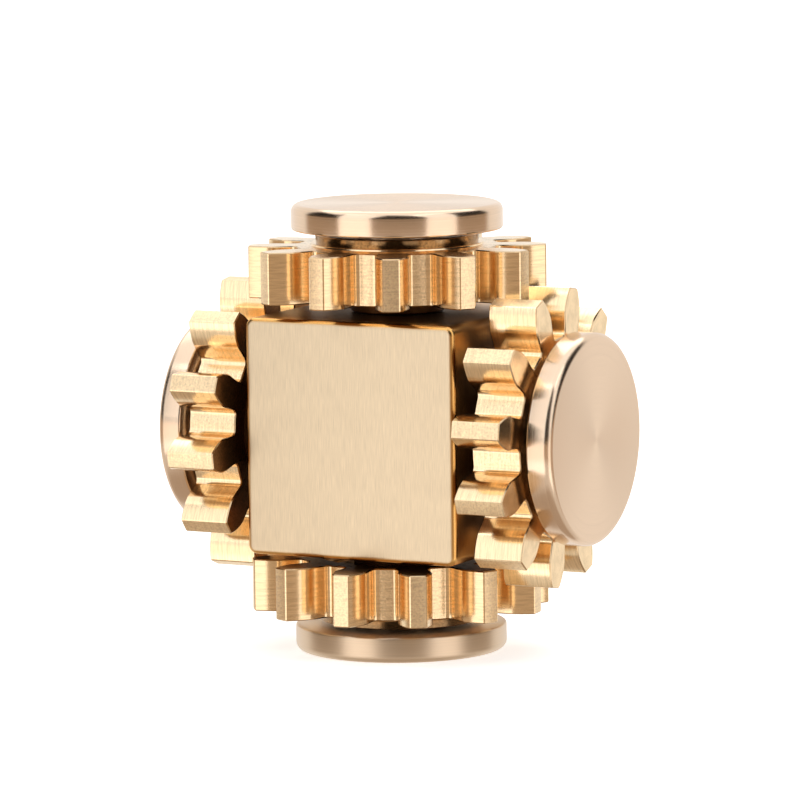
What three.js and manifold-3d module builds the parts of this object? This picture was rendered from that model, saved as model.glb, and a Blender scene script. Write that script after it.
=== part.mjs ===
// A geared fidget cube: a brass block with a spur gear on four of its sides. Each gear turns on a
// ball bearing under a button cap, and neighbouring gears mesh at right angles over the block's edges.
//
// Millimetres, +Z up. The origin is the centre of the bottom cap's outer face, +X is the right gear's
// axis and -Y is the front. Each side's pieces are built in a frame of their own, with +Z pointing out of
// the block from its centre, and that frame is then turned about Y.

import * as THREE from 'three';
import { mergeVertices } from 'three/addons/utils/BufferGeometryUtils.js';
import Module from 'manifold-3d';

const wasm = await Module();
wasm.setup();

const DEGREE = Math.PI / 180;

// ---- driving dimensions ----

const block = {
  width: 27.3, // left to right
  heightOver: 0.6, // how much taller the block is than its width
  depth: 25.4, // front to back
  cornerRadius: 0.8, // the four long edges, which lie along Y
  faceBevel: 0.4, // around the front and back faces
  studHoleDepth: 6.5,
};

const gear = {
  teeth: 12,
  thickness: 6.15,
  toothOverlap: 1.95, // how deep the top gear's teeth reach past the right gear's inner face
  pressureAngle: 14.5 * DEGREE,
  dedendum: 1.25, // in modules
  rootFillet: 0.75,
  bossHeight: 0.35, // low bevelled ring around the bearing seat
  bossWall: 0.5,
  bossBevel: 0.8,
};

const bearing = {
  bore: 8,
  outerDiameter: 19,
  width: 6,
  balls: 7,
  ballShare: 0.245, // ball radius as a share of the ring section
  landShare: 0.31, // a ring's wall at its lands, likewise
  shieldThickness: 0.3,
  shieldRecess: 0.25,
  shieldLedge: 0.45, // depth of the seat in the outer ring that holds a shield
};

const cap = {
  diameter: 24.9,
  thickness: 3.05,
  rimRadius: 0.9, // rounded outer edge
  underBevel: 0.25,
  shoulderWidth: 1.4, // of the step that bears on the inner ring
  crown: 2.5, // solid metal left over the stud's hole
};

const stud = { diameter: 4, socketWidth: 2, socketDepth: 2, endBevel: 0.4 };
const spacerWall = 1.55; // of the washer behind the inner ring

// Each side by hand: how far its gear stands off the block, how far its bearing stands out of its gear,
// and the gap from its bearing to its cap. The gears are held at their place by the press fit of their
// bearings, so these differ a little, and so does where the play in the mesh lets each gear rest.
const halfPitch = 180 / gear.teeth;
const sides = [
  { name: 'top', turn: 0, standoff: 1.75, proud: 1.4, capGap: 0.5, gearPhase: -6.3 },
  { name: 'right', turn: 90, standoff: 1.9, proud: 0.6, capGap: 0.4, gearPhase: halfPitch + 4.8 },
  { name: 'bottom', turn: 180, standoff: 0.95, proud: 1.4, capGap: 0.5, gearPhase: -5.2 },
  { name: 'left', turn: 270, standoff: 1.9, proud: 0.6, capGap: 0.4, gearPhase: halfPitch + 5.1 },
];

// ---- clearances ----

const seatGap = 0.15; // radial, between a piece and the bore that it is pressed or screwed into
const faceGap = 0.1; // axial, between faces that rest on each other
const runningGap = 0.2; // between pieces that turn against each other

// ---- positions of each side's pieces from the block's centre, outwards along the side's axis ----

const blockHeight = block.width + block.heightOver;

for (const side of sides) {
  side.blockFace = (side.turn % 180 === 0 ? blockHeight : block.width) / 2;
  side.gearInner = side.blockFace + side.standoff;
  side.gearOuter = side.gearInner + gear.thickness;
  side.bearingOuter = side.gearOuter + side.proud;
  side.bearingInner = side.bearingOuter - bearing.width;
  side.capInner = Math.max(side.bearingOuter, side.gearOuter + gear.bossHeight) + side.capGap;
  side.capOuter = side.capInner + cap.thickness;
  side.studHoleEnd = side.capOuter - cap.crown;
}
const [, right, bottom] = sides;

// ---- sizes that follow ----

const tipRadius = right.gearInner + gear.toothOverlap;
const module = (2 * tipRadius) / (gear.teeth + 2);
const pitchRadius = (module * gear.teeth) / 2;
const baseRadius = pitchRadius * Math.cos(gear.pressureAngle);
const rootRadius = pitchRadius - gear.dedendum * module;

const ringBore = bearing.bore / 2;
const ringOuter = bearing.outerDiameter / 2;
const ringSection = ringOuter - ringBore;
const ballCircle = (ringBore + ringOuter) / 2;
const ballRadius = bearing.ballShare * ringSection;
const raceRadius = ballRadius + runningGap;
const innerLand = ringBore + bearing.landShare * ringSection;
const outerLand = ringOuter - bearing.landShare * ringSection;
const shieldSeat = outerLand + bearing.shieldLedge;

const shaftRadius = ringBore - seatGap;
const studRadius = stud.diameter / 2;
const studHoleRadius = studRadius + seatGap;

// ---- materials ----

const metal = (color, roughness) =>
  new THREE.MeshStandardMaterial({ color, roughness, metalness: 1 });

const materials = {
  brushedBrass: metal(0xe3c99b, 0.38),
  gearBrass: metal(0xe0bd78, 0.25),
  capBrass: metal(0xdcc3a2, 0.28),
  bearingSteel: metal(0xc9c7c4, 0.22),
  shieldSteel: metal(0xb4b2ae, 0.35),
  cageSteel: metal(0xa9a7a2, 0.4),
  studSteel: metal(0x55534f, 0.5),
};

// ---- solids ----

// Segments of the round pieces: the caps are the largest, the stud the smallest.
const capSegments = 32;
const ringSegments = 20;
const studSegments = 12;

function solid(geometry) {
  const bare = geometry.clone();
  bare.deleteAttribute('normal');
  bare.deleteAttribute('uv');
  const merged = mergeVertices(bare, 1e-4);
  return new wasm.Manifold(
    new wasm.Mesh({
      numProp: 3,
      vertProperties: new Float32Array(merged.attributes.position.array),
      triVerts: new Uint32Array(merged.index.array),
    }),
  );
}

function geometryOf(manifold) {
  const mesh = manifold.getMesh();
  const geometry = new THREE.BufferGeometry();
  geometry.setAttribute('position', new THREE.BufferAttribute(mesh.vertProperties, 3));
  geometry.setIndex(new THREE.BufferAttribute(mesh.triVerts, 1));
  return geometry.toNonIndexed();
}

// Turns a profile of [radius, height] points about Z. The points run anticlockwise, with the radius to
// the right and the height up, so that the faces point outwards.
function turned(profile, segments) {
  const points = profile.map(([radius, height]) => new THREE.Vector2(radius, height));
  const closed = profile[0][0] > 0 ? [...points, points[0].clone()] : points;
  return solid(new THREE.LatheGeometry(closed, segments).rotateX(Math.PI / 2));
}

// A plain ring or, with no bore, a plain disc.
function ring(bore, radius, from, to, segments = ringSegments) {
  return turned([[bore, from], [radius, from], [radius, to], [bore, to]], segments);
}

function node(name, manifold, material) {
  const mesh = new THREE.Mesh(geometryOf(manifold), material);
  mesh.name = name;
  return mesh;
}

// ---- the block ----

function roundedRectangle(width, height, radius) {
  const x = width / 2;
  const y = height / 2;
  const shape = new THREE.Shape();
  shape.moveTo(-x + radius, -y);
  shape.absarc(x - radius, -y + radius, radius, -Math.PI / 2, 0);
  shape.absarc(x - radius, y - radius, radius, 0, Math.PI / 2);
  shape.absarc(-x + radius, y - radius, radius, Math.PI / 2, Math.PI);
  shape.absarc(-x + radius, -y + radius, radius, Math.PI, 1.5 * Math.PI);
  return shape;
}

function blockSolid() {
  const inset = block.faceBevel;
  const section = roundedRectangle(
    block.width - 2 * inset,
    blockHeight - 2 * inset,
    block.cornerRadius - inset,
  );
  const prism = new THREE.ExtrudeGeometry(section, {
    depth: block.depth - 2 * inset,
    bevelSize: inset,
    bevelThickness: inset,
    bevelSegments: 2,
    curveSegments: 3,
  });
  prism.translate(0, 0, inset - block.depth / 2).rotateX(Math.PI / 2);
  return sides.reduce((body, side) => {
    const end = side.blockFace - block.studHoleDepth;
    const hole = ring(0, studHoleRadius, end, side.blockFace + 1, studSegments);
    return body.subtract(hole.rotate([0, side.turn, 0]));
  }, solid(prism));
}

// ---- the gear ----

const involute = (angle) => Math.tan(angle) - angle;

// Half of a tooth's width as an angle, at a radius on its flank. The flank is radial under the base circle.
function toothHalfAngle(radius) {
  const atPitch = Math.PI / (2 * gear.teeth);
  const angle = radius > baseRadius ? Math.acos(baseRadius / radius) : 0;
  return atPitch + involute(gear.pressureAngle) - involute(angle);
}

function gearOutline() {
  const filletAngle = gear.rootFillet / rootRadius;
  const flank = [
    [rootRadius, toothHalfAngle(rootRadius) + filletAngle],
    [rootRadius + gear.rootFillet, toothHalfAngle(rootRadius)],
    [baseRadius, toothHalfAngle(baseRadius)],
    [pitchRadius + module / 2, toothHalfAngle(pitchRadius + module / 2)],
    [tipRadius, toothHalfAngle(tipRadius)],
  ];
  const tooth = [
    ...flank.map(([radius, angle]) => [radius, -angle]),
    ...flank.toReversed(),
  ];
  const outline = [];
  for (let i = 0; i < gear.teeth; i += 1) {
    for (const [radius, angle] of tooth) {
      const around = angle + (2 * Math.PI * i) / gear.teeth;
      outline.push(new THREE.Vector2(radius * Math.cos(around), radius * Math.sin(around)));
    }
  }
  return outline;
}

function gearSolid({ gearInner, gearOuter }) {
  const blank = new THREE.ExtrudeGeometry(new THREE.Shape(gearOutline()), {
    depth: gear.thickness,
    bevelEnabled: false,
  });
  blank.translate(0, 0, gearInner);
  const bossTop = ringOuter + seatGap + gear.bossWall;
  const boss = turned(
    [
      [0, gearInner + gear.thickness / 2],
      [bossTop, gearInner + gear.thickness / 2],
      [bossTop + gear.bossBevel, gearOuter],
      [bossTop, gearOuter + gear.bossHeight],
      [0, gearOuter + gear.bossHeight],
    ],
    ringSegments,
  );
  const seat = ring(0, ringOuter + seatGap, gearInner - 1, gearOuter + 2 * gear.bossHeight);
  return solid(blank).add(boss).subtract(seat);
}

// ---- the bearing ----

// A circular ball groove in a ring's land, from its lower edge to its upper one. The outer ring's groove
// is on the far side of the ball circle (side 1), the inner ring's on the near side (side -1).
function groove(land, side) {
  const steps = 2;
  const edge = Math.acos((side * (land - ballCircle)) / raceRadius);
  return Array.from({ length: steps + 1 }, (_, i) => {
    const angle = edge * ((2 * i) / steps - 1);
    return [ballCircle + side * raceRadius * Math.cos(angle), raceRadius * Math.sin(angle)];
  });
}

// Both rings are centred on the bearing's middle plane.
function outerRingSolid() {
  const half = bearing.width / 2;
  const ledge = half - bearing.shieldRecess - bearing.shieldThickness - faceGap;
  return turned(
    [
      [ringOuter, -half],
      [ringOuter, half],
      [shieldSeat, half],
      [shieldSeat, ledge],
      [outerLand, ledge],
      ...groove(outerLand, 1).toReversed(),
      [outerLand, -ledge],
      [shieldSeat, -ledge],
      [shieldSeat, -half],
    ],
    ringSegments,
  );
}

function innerRingSolid() {
  const half = bearing.width / 2;
  return turned(
    [
      [ringBore, half],
      [ringBore, -half],
      [innerLand, -half],
      ...groove(innerLand, -1),
      [innerLand, half],
    ],
    ringSegments,
  );
}

// The balls are joined to the cage ring that spaces them.
function ballCageSolid() {
  const wall = ballRadius / 2;
  const cage = ring(ballCircle - wall / 2, ballCircle + wall / 2, -wall, wall);
  const ball = solid(new THREE.SphereGeometry(ballRadius, 6, 4).rotateX(Math.PI / 2));
  const placed = Array.from({ length: bearing.balls }, (_, i) =>
    ball.translate([ballCircle, 0, 0]).rotate([0, 0, (360 * i) / bearing.balls]),
  );
  return placed.reduce((whole, each) => whole.add(each), cage);
}

function shieldSolid() {
  return ring(innerLand + runningGap, shieldSeat - seatGap, 0, bearing.shieldThickness);
}

// ---- the fixed pieces of a side ----

function capSolid({ bearingInner, bearingOuter, capInner, capOuter, studHoleEnd }) {
  const radius = cap.diameter / 2;
  const shoulder = ringBore + cap.shoulderWidth;
  const rim = [1, 2, 3].map((i) => {
    const angle = (i * Math.PI) / 6;
    const lift = cap.rimRadius * (Math.sin(angle) - 1);
    return [radius - cap.rimRadius * (1 - Math.cos(angle)), capOuter + lift];
  });
  return turned(
    [
      [0, studHoleEnd],
      [studHoleRadius, studHoleEnd],
      [studHoleRadius, bearingInner + faceGap],
      [shaftRadius, bearingInner + faceGap],
      [shaftRadius, bearingOuter + faceGap],
      [shoulder, bearingOuter + faceGap],
      [shoulder, capInner],
      [radius - cap.underBevel, capInner],
      [radius, capInner + cap.underBevel],
      [radius, capOuter - cap.rimRadius],
      ...rim,
      [0, capOuter],
    ],
    capSegments,
  );
}

function spacerSolid({ blockFace, bearingInner }) {
  return ring(
    studHoleRadius,
    ringBore + spacerWall,
    blockFace + faceGap,
    bearingInner - faceGap,
  );
}

function studSolid({ blockFace, studHoleEnd }) {
  const from = blockFace - block.studHoleDepth + 2 * faceGap;
  const to = studHoleEnd - 2 * faceGap;
  const neck = studRadius - stud.endBevel;
  const shank = turned(
    [
      [0, from],
      [neck, from],
      [studRadius, from + stud.endBevel],
      [studRadius, to - stud.endBevel],
      [neck, to],
      [0, to],
    ],
    studSegments,
  );
  const acrossCorners = stud.socketWidth / Math.cos(Math.PI / 6);
  const socket = ring(0, acrossCorners / 2, to - stud.socketDepth, to + 1, 6);
  return shank.subtract(socket);
}

// ---- assembly ----

const shieldFace = bearing.width / 2 - bearing.shieldRecess;

function sideGroup(side) {
  const { name } = side;
  const bearingMiddle = (side.bearingInner + side.bearingOuter) / 2;
  const rotor = new THREE.Group();
  rotor.rotation.z = side.gearPhase * DEGREE;
  const outerRing = node(`${name}_bearing_outer_ring`, outerRingSolid(), materials.bearingSteel);
  const innerRing = node(`${name}_bearing_inner_ring`, innerRingSolid(), materials.bearingSteel);
  const ballCage = node(`${name}_bearing_ball_cage`, ballCageSolid(), materials.cageSteel);
  const outerShield = node(`${name}_bearing_outer_shield`, shieldSolid(), materials.shieldSteel);
  const innerShield = node(`${name}_bearing_inner_shield`, shieldSolid(), materials.shieldSteel);
  for (const piece of [outerRing, innerRing, ballCage]) piece.position.z = bearingMiddle;
  outerShield.position.z = bearingMiddle + shieldFace - bearing.shieldThickness;
  innerShield.position.z = bearingMiddle - shieldFace;
  rotor.add(
    node(`${name}_gear`, gearSolid(side), materials.gearBrass),
    outerRing,
    outerShield,
    innerShield,
  );

  const group = new THREE.Group();
  group.rotation.y = side.turn * DEGREE;
  group.add(
    rotor,
    ballCage,
    innerRing,
    node(`${name}_spacer`, spacerSolid(side), materials.gearBrass),
    node(`${name}_cap`, capSolid(side), materials.capBrass),
    node(`${name}_stud`, studSolid(side), materials.studSteel),
  );
  return group;
}

const fidgetCube = new THREE.Group();
fidgetCube.position.z = bottom.capOuter;
fidgetCube.add(node('body_block', blockSolid(), materials.brushedBrass), ...sides.map(sideGroup));

export default fidgetCube;
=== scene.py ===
"""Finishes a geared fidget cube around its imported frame: a solid brass block with a gear on four sides."""

import math

import bmesh
import bpy
from bpy.props import FloatProperty, IntProperty, PointerProperty, StringProperty
from mathutils import Matrix, Vector


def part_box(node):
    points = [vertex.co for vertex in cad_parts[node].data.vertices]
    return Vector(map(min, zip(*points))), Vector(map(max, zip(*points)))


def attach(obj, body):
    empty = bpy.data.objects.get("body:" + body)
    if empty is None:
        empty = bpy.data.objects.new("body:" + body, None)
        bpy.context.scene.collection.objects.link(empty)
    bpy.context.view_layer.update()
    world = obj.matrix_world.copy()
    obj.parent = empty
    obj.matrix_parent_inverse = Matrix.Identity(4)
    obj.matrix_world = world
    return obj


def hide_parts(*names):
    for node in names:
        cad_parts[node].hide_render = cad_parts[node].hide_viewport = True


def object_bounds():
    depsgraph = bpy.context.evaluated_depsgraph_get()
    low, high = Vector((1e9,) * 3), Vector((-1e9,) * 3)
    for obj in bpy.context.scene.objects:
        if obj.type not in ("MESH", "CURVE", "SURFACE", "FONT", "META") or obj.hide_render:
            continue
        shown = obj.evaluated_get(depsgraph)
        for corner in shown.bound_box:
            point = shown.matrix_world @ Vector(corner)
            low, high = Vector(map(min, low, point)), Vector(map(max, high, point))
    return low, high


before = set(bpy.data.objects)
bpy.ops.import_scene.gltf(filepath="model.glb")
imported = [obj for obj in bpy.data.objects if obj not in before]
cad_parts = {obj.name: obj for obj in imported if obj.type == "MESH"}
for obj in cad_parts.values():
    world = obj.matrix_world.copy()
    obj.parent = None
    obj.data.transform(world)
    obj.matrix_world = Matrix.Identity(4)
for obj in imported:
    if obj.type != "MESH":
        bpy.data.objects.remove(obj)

bl_info = {
    "name": "Geared Fidget Cube",
    "version": (1, 0, 0),
    "blender": (4, 5, 0),
    "location": "3D Viewport > Sidebar > Fidget Cube",
    "description": "Builds the finished pieces of a geared brass fidget cube on its frame",
    "category": "Object",
}

MM = 0.001
# What a fitted piece is smaller than its seat by, and the room around a stud's thread.
FIT = 0.01 * MM
THREAD_ROOM = 0.1 * MM
# Edges that turn by more than this are shaded as edges.
SHARP = math.radians(17)
FRAME_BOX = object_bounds()

# Each side's turn about Y from pointing up, in degrees.
SIDES = {"top": 0, "right": 90, "bottom": 180, "left": 270}


# ---- the frame: where the pieces go ----


class Side:
    """A geared side of the block. Distances run outwards from the block's centre along the side's axis."""

    def __init__(self, name):
        low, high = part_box("body_block")
        self.name = name
        self.centre = (low + high) / 2
        self.turn = Matrix.Rotation(math.radians(SIDES[name]), 3, "Y")
        self.axis = self.turn @ Vector((0, 0, 1))
        self.block_face = (high - low).dot(Vector([abs(part) for part in self.axis])) / 2
        self.gear_inner, self.gear_top = self.span("gear")
        self.ring_inner, self.ring_outer = self.span("bearing_outer_ring")
        self.shaft_end, self.cap_outer = self.span("cap")
        self.stud_end, self.stud_top = self.span("stud")

    def node(self, piece):
        """The name of one of this side's CAD nodes or bodies."""
        return f"{self.name}_{piece}"

    def span(self, piece):
        """The nearest and farthest distance of a CAD node along the axis."""
        ends = [(corner - self.centre).dot(self.axis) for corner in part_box(self.node(piece))]
        return min(ends), max(ends)

    def place(self, mesh):
        """Moves a mesh that was built around its own Z axis to this side."""
        mesh.transform(Matrix.Translation(self.centre) @ self.turn.to_4x4())

    def gear_phase(self, teeth):
        """The angle of a tooth of the CAD gear about this side's axis, from the corners of its tips."""
        back = self.turn.inverted()
        points = [back @ (v.co - self.centre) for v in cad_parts[self.node("gear")].data.vertices]
        tip = max(math.hypot(p.x, p.y) for p in points)
        corners = [math.atan2(p.y, p.x) for p in points if math.hypot(p.x, p.y) > 0.999 * tip]
        across = sum(math.sin(teeth * a) for a in corners)
        along = sum(math.cos(teeth * a) for a in corners)
        return math.atan2(across, along) / teeth


# ---- sizes and finishes that a user would change ----


def length(name, description, millimetres):
    """A size that a user would change, with its default in millimetres."""
    return FloatProperty(
        name=name, description=description, default=millimetres * MM, unit="LENGTH", precision=5
    )


def finish_colour(name, description, hex_colour):
    """A colour that a user would change, as sRGB hex."""
    return StringProperty(name=name, description=f"{description}, sRGB", default=hex_colour)


class FidgetSizes(bpy.types.PropertyGroup):
    block_edge: length("Block edge", "Radius of the block's broken edges", 0.65)
    block_corner: length("Block corner", "Radius of the block's four long edges", 1.1)
    tip_radius: length("Gear tip", "Radius of the gears over their teeth", 17.5)
    gear_thickness: length("Gear thickness", "Thickness of a gear at its teeth", 6.15)
    tooth_break: length("Tooth break", "Width of the broken edges of the teeth", 0.13)
    root_fillet: length("Root fillet", "Radius of the fillet at the root of a tooth", 0.75)
    teeth: IntProperty(name="Teeth", description="Number of teeth on a gear", default=12, min=6)
    pressure_angle: FloatProperty(
        name="Pressure angle",
        description="Pressure angle of the teeth",
        default=math.radians(14.5),
        subtype="ANGLE",
    )
    boss_wall: length("Boss wall", "Flat of the low ring around a bearing", 0.64)
    boss_bevel: length("Boss bevel", "Width of that ring's bevel", 0.8)
    cap_radius: length("Cap radius", "Radius of a cap", 12.45)
    cap_thickness: length("Cap thickness", "Thickness of a cap", 3.05)
    cap_rim: length("Cap rim", "Radius of a cap's outer edge", 0.9)
    cap_shoulder: length("Cap shoulder", "Radius of the step that bears on the inner ring", 5.4)
    cap_crown: length("Cap crown", "Solid metal over the stud's hole", 2.5)
    bearing_bore: length("Bearing bore", "Bore radius of a bearing", 4.0)
    bearing_radius: length("Bearing radius", "Outer radius of a bearing", 9.5)
    bearing_edge: length("Bearing edge", "Radius of the edges of a bearing's rings", 0.3)
    balls: IntProperty(name="Balls", description="Number of balls in a bearing", default=7, min=3)
    spacer_radius: length("Spacer radius", "Outer radius of a spacer", 5.5)
    stud_radius: length("Stud radius", "Radius of a threaded stud", 2.0)
    thread_pitch: length("Thread pitch", "Pitch of a stud's thread", 0.7)


class FidgetFinishes(bpy.types.PropertyGroup):
    block_brass: finish_colour("Block brass", "Brushed brass", "#E5D3B6")
    # Sawn brass is the colour of the faces under the gears, darkened there to shares of it as painted shade.
    sawn_brass_and_shade: finish_colour("Sawn brass", "Dull brass", "#D2A676")
    # Edge brass paints the highlight on the block's broken edges, and the light on the outer edges of its
    # sides.
    edge_highlight_brass: finish_colour("Edge brass", "Bare brass", "#E0AC66")
    gear_brass: finish_colour("Gear brass", "Milled brass", "#F7DBB2")
    cap_brass: finish_colour("Cap brass", "Turned brass", "#EACFB5")
    spacer_brass: finish_colour("Spacer brass", "Brown brass", "#6E4A2C")
    # Worn brass is the cap brass painted darker and browner as shade, for the cap that the cube stands on.
    shaded_cap_brass: finish_colour("Worn brass", "Browned brass", "#E3CBB0")
    bearing_steel: finish_colour("Bearing steel", "Ground steel", "#D9D6D2")
    shield_steel: finish_colour("Shield steel", "Pressed steel", "#BEBBB6")
    stud_steel: finish_colour("Stud steel", "Blackened steel", "#4A4844")
    floor: finish_colour("Floor", "Pale floor", "#F7F6F4")


def sizes():
    return bpy.context.scene.fidget_sizes


def finishes():
    return bpy.context.scene.fidget_finishes


# ---- materials ----

# A Mix node's sockets go by number, because those for values, vectors and colours share their names.
COLOUR_MIX = {"data_type": "RGBA"}
FACTOR, COLOUR_A, COLOUR_B, MIXED = 0, 6, 7, 2


def linear(hex_colour, share=1.0):
    """An sRGB hex colour as linear RGBA, at a share of its brightness."""
    channels = [int(hex_colour[i : i + 2], 16) / 255 for i in (1, 3, 5)]
    plain = [c / 12.92 if c <= 0.04045 else ((c + 0.055) / 1.055) ** 2.4 for c in channels]
    return (*(share * c for c in plain), 1.0)


def shades(hex_colour, dark, light):
    """The two ends of a Mix node that runs from a darker to a lighter share of one colour."""
    return {COLOUR_A: linear(hex_colour, dark), COLOUR_B: linear(hex_colour, light)}


def add_node(tree, kind, settings=None, inputs=None):
    """Adds a node, with its settings and with its inputs set to values or linked from sockets."""
    node = tree.nodes.new(kind)
    for key, value in (settings or {}).items():
        setattr(node, key, value)
    for key, value in (inputs or {}).items():
        if isinstance(value, bpy.types.NodeSocket):
            tree.links.new(value, node.inputs[key])
        else:
            node.inputs[key].default_value = value
    return node


def new_material(name):
    """A new material and its empty tree, or the material that was made before and None."""
    material = bpy.data.materials.get(name)
    if material:
        return material, None
    material = bpy.data.materials.new(name)
    material.use_nodes = True
    material.node_tree.nodes.clear()
    return material, material.node_tree


def brushed_brass():
    """Brass brushed upright with abrasive: short fine scratches that soften every reflection sideways.

    The sides under the gears are left from the saw and painted with shade, so they are browner and duller
    than the two open faces.
    """
    material, tree = new_material("brushed_brass")
    if tree is None:
        return material
    colours = finishes()
    coordinates = add_node(tree, "ShaderNodeTexCoord").outputs
    # Scratches 13 to a millimetre, each about 2 mm long.
    along = add_node(
        tree,
        "ShaderNodeMapping",
        inputs={"Vector": coordinates["Object"], "Scale": (13 / MM, 13 / MM, 0.45 / MM)},
    ).outputs["Vector"]
    scratch = add_node(
        tree, "ShaderNodeTexNoise", inputs={"Vector": along, "Scale": 1.0, "Detail": 3.0}
    ).outputs["Fac"]
    # Handling leaves the brushing uneven over about 3 mm.
    uneven = add_node(
        tree,
        "ShaderNodeTexNoise",
        inputs={"Vector": coordinates["Object"], "Scale": 0.33 / MM, "Detail": 3.0},
    ).outputs["Fac"]
    depth = add_node(
        tree, "ShaderNodeMath", {"operation": "MULTIPLY_ADD"}, {0: uneven, 1: 0.15, 2: scratch}
    ).outputs["Value"]
    shade = add_node(
        tree, "ShaderNodeMapRange", inputs={"Value": depth, "From Min": 0.32, "From Max": 0.84}
    ).outputs["Result"]
    facing = add_node(tree, "ShaderNodeSeparateXYZ", inputs={"Vector": coordinates["Normal"]}).outputs["Y"]
    open_face = add_node(tree, "ShaderNodeMath", {"operation": "ABSOLUTE"}, {0: facing}).outputs["Value"]
    bright = add_node(
        tree, "ShaderNodeMix", COLOUR_MIX, {FACTOR: shade, **shades(colours.block_brass, 0.86, 1.09)}
    ).outputs[MIXED]
    # The sides get painted light over their outer millimetre and painted shade from 3 mm in, where they lie
    # under the gears.
    half_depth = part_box("body_block")[1].y
    place = add_node(tree, "ShaderNodeSeparateXYZ", inputs={"Vector": coordinates["Object"]}).outputs["Y"]
    outwards = add_node(tree, "ShaderNodeMath", {"operation": "ABSOLUTE"}, {0: place}).outputs["Value"]
    edge_light = add_node(
        tree,
        "ShaderNodeMapRange",
        inputs={
            "Value": outwards,
            "From Min": half_depth - 3.0 * MM,
            "From Max": half_depth - 0.9 * MM,
            "To Max": 0.9,
        },
    ).outputs["Result"]
    # Painted shade: deep under the gears the sides are a dark share of the sawn brass.
    brown = add_node(
        tree, "ShaderNodeMix", COLOUR_MIX, {FACTOR: shade, **shades(colours.sawn_brass_and_shade, 0.3, 0.5)}
    ).outputs[MIXED]
    # Painted light: near their outer edges the sides are lit brass.
    edge_lit_brass = add_node(
        tree, "ShaderNodeMix", COLOUR_MIX, {FACTOR: shade, **shades(colours.edge_highlight_brass, 0.9, 1.1)}
    ).outputs[MIXED]
    side_colour_with_shade = add_node(
        tree, "ShaderNodeMix", COLOUR_MIX, {FACTOR: edge_light, COLOUR_A: brown, COLOUR_B: edge_lit_brass}
    ).outputs[MIXED]
    colour = add_node(
        tree, "ShaderNodeMix", COLOUR_MIX, {FACTOR: open_face, COLOUR_A: side_colour_with_shade, COLOUR_B: bright}
    ).outputs[MIXED]
    # On the broken edges, where a normal is half turned, a painted highlight lays a thin line of yellow
    # brass.
    half_turned = add_node(
        tree, "ShaderNodeMath", {"operation": "PINGPONG"}, {0: open_face, 1: 0.5}
    ).outputs["Value"]
    on_edge = add_node(
        tree, "ShaderNodeMapRange", inputs={"Value": half_turned, "From Min": 0.0, "From Max": 0.12}
    ).outputs["Result"]
    edge_highlight = add_node(
        tree,
        "ShaderNodeMix",
        COLOUR_MIX,
        {FACTOR: on_edge, COLOUR_A: colour, COLOUR_B: linear(colours.edge_highlight_brass)},
    )
    # The edges are smoother than the faces, and their scratches nearly rubbed out.
    rough = add_node(tree, "ShaderNodeMapRange", inputs={"Value": on_edge, "To Min": 0.45, "To Max": 0.25})
    scratched = add_node(
        tree, "ShaderNodeMapRange", inputs={"Value": on_edge, "To Min": 0.16, "To Max": 0.02}
    )
    bump = add_node(
        tree,
        "ShaderNodeBump",
        inputs={"Height": scratch, "Strength": scratched.outputs["Result"], "Distance": 0.03 * MM},
    )
    shader = add_node(
        tree,
        "ShaderNodeBsdfPrincipled",
        inputs={
            "Base Color": edge_highlight.outputs[MIXED],
            "Metallic": 1.0,
            "Roughness": rough.outputs["Result"],
            "Normal": bump.outputs["Normal"],
        },
    )
    add_node(tree, "ShaderNodeOutputMaterial", inputs={"Surface": shader.outputs["BSDF"]})
    return material


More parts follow.
